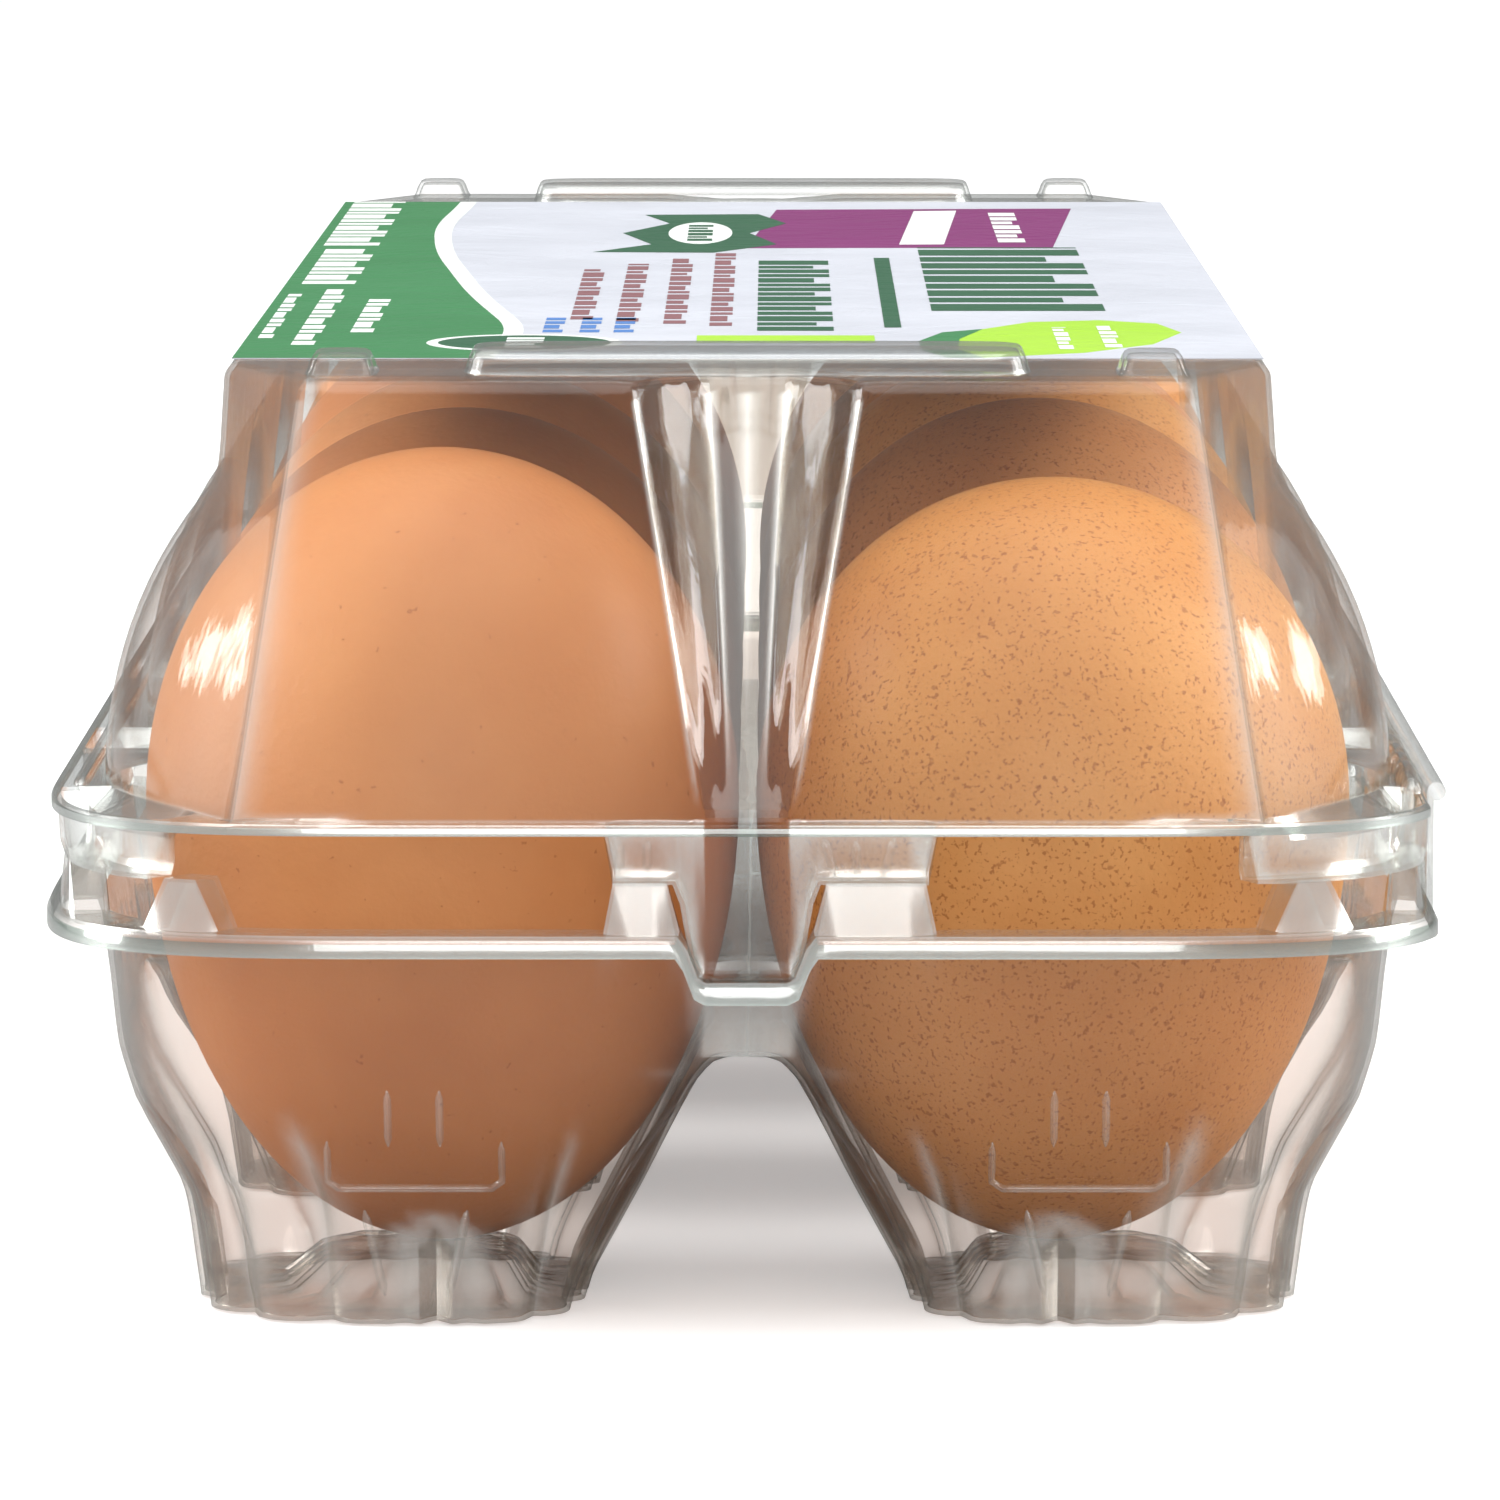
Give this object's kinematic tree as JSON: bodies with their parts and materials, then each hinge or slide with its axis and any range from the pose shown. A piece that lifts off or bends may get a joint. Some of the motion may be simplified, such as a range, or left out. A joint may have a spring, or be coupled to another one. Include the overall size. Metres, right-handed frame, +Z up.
{
  "type": "egg carton",
  "caption": "Clear formed-plastic egg carton with fluted cells, a hinged flat-topped lid, vent windows between the flanges, a printed label and brown eggs.",
  "frame": {"origin": "centre of the footprint, on the surface that the cell feet stand on", "axes": "+Z up, +Y along the rows away from the end that the picture shows, +X towards the hinge side"},
  "size_m": [0.104, 0.246, 0.0715],
  "materials": {
    "clear_pet": "gloss",
    "printed_film": "satin",
    "eggshell": "satin"
  },
  "bodies": {
    "tray": {"tray": "clear_pet", "hinge_strip": "clear_pet"},
    "lid": {"lid": "clear_pet", "label": "printed_film"},
    "egg_row1_left": {"egg_row1_left": "eggshell"},
    "egg_row1_right": {"egg_row1_right": "eggshell"},
    "egg_row2_left": {"egg_row2_left": "eggshell"},
    "egg_row2_right": {"egg_row2_right": "eggshell"},
    "egg_row3_left": {"egg_row3_left": "eggshell"},
    "egg_row3_right": {"egg_row3_right": "eggshell"},
    "egg_row4_left": {"egg_row4_left": "eggshell"},
    "egg_row4_right": {"egg_row4_right": "eggshell"},
    "egg_row5_left": {"egg_row5_left": "eggshell"},
    "egg_row5_right": {"egg_row5_right": "eggshell"}
  },
  "joints": [
    {"name": "lid_hinge", "type": "hinge", "parent": "tray", "child": "lid", "pos_m": [0.0513, 0, 0.0386], "axis": [0, 1, 0], "range_deg": [0, 180]},
    {"name": "egg_row1_left_play", "type": "slide", "parent": "tray", "child": "egg_row1_left", "axis": [0, 0, 1], "range_m": [0, 0.004]},
    {"name": "egg_row1_right_play", "type": "slide", "parent": "tray", "child": "egg_row1_right", "axis": [0, 0, 1], "range_m": [0, 0.004]},
    {"name": "egg_row2_left_play", "type": "slide", "parent": "tray", "child": "egg_row2_left", "axis": [0, 0, 1], "range_m": [0, 0.004]},
    {"name": "egg_row2_right_play", "type": "slide", "parent": "tray", "child": "egg_row2_right", "axis": [0, 0, 1], "range_m": [0, 0.004]},
    {"name": "egg_row3_left_play", "type": "slide", "parent": "tray", "child": "egg_row3_left", "axis": [0, 0, 1], "range_m": [0, 0.004]},
    {"name": "egg_row3_right_play", "type": "slide", "parent": "tray", "child": "egg_row3_right", "axis": [0, 0, 1], "range_m": [0, 0.004]},
    {"name": "egg_row4_left_play", "type": "slide", "parent": "tray", "child": "egg_row4_left", "axis": [0, 0, 1], "range_m": [0, 0.004]},
    {"name": "egg_row4_right_play", "type": "slide", "parent": "tray", "child": "egg_row4_right", "axis": [0, 0, 1], "range_m": [0, 0.004]},
    {"name": "egg_row5_left_play", "type": "slide", "parent": "tray", "child": "egg_row5_left", "axis": [0, 0, 1], "range_m": [0, 0.004]},
    {"name": "egg_row5_right_play", "type": "slide", "parent": "tray", "child": "egg_row5_right", "axis": [0, 0, 1], "range_m": [0, 0.004]}
  ]
}
